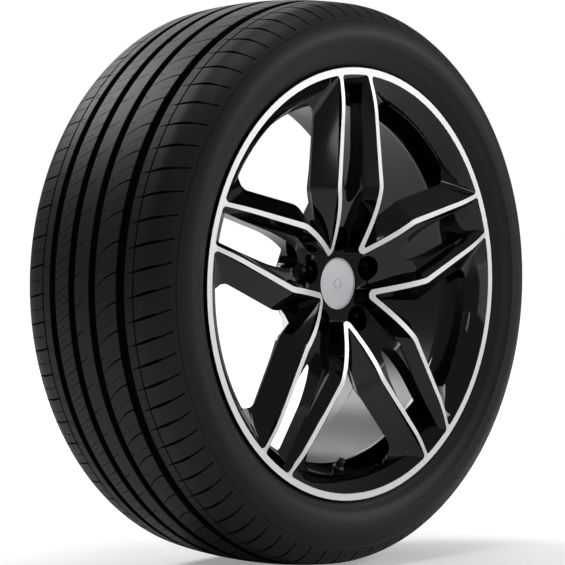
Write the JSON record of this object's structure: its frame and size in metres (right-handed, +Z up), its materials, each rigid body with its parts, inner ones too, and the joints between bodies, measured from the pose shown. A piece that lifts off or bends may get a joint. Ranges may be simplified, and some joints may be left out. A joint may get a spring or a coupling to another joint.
{
  "type": "passenger car wheel with fitted tyre",
  "caption": "Low-profile road tyre fitted on a deep-dish twin-spoke alloy wheel, with a snap-in centre cap and a rubber snap-in valve.",
  "frame": {"origin": "centre of the wheel, on the axle line and half way across the tyre", "axes": "+Y along the axle towards the car, so the outer face with the spokes looks along -Y; +Z up as the wheel stands; +X to the right for a viewer who faces the outer side"},
  "size_m": [0.6866, 0.252, 0.6864],
  "materials": {
    "tyre": "satin dark grey tread and sidewall rubber",
    "alloy": "gloss black paint over cast aluminium, with bare turned silver faces on the ribs and the ring",
    "cap": "satin silver paint",
    "spring_wire": "drawn spring wire",
    "valve_rubber": "matt black moulded rubber",
    "valve_brass": "plain brass",
    "valve_plastic": "matt black plastic"
  },
  "bodies": {
    "root": {"tyre": "tyre", "alloy_wheel": "alloy", "centre_cap": "cap", "cap_spring": "spring_wire", "valve_stem": "valve_rubber", "valve_core": "valve_brass", "valve_cap": "valve_plastic"}
  },
  "joints": []
}
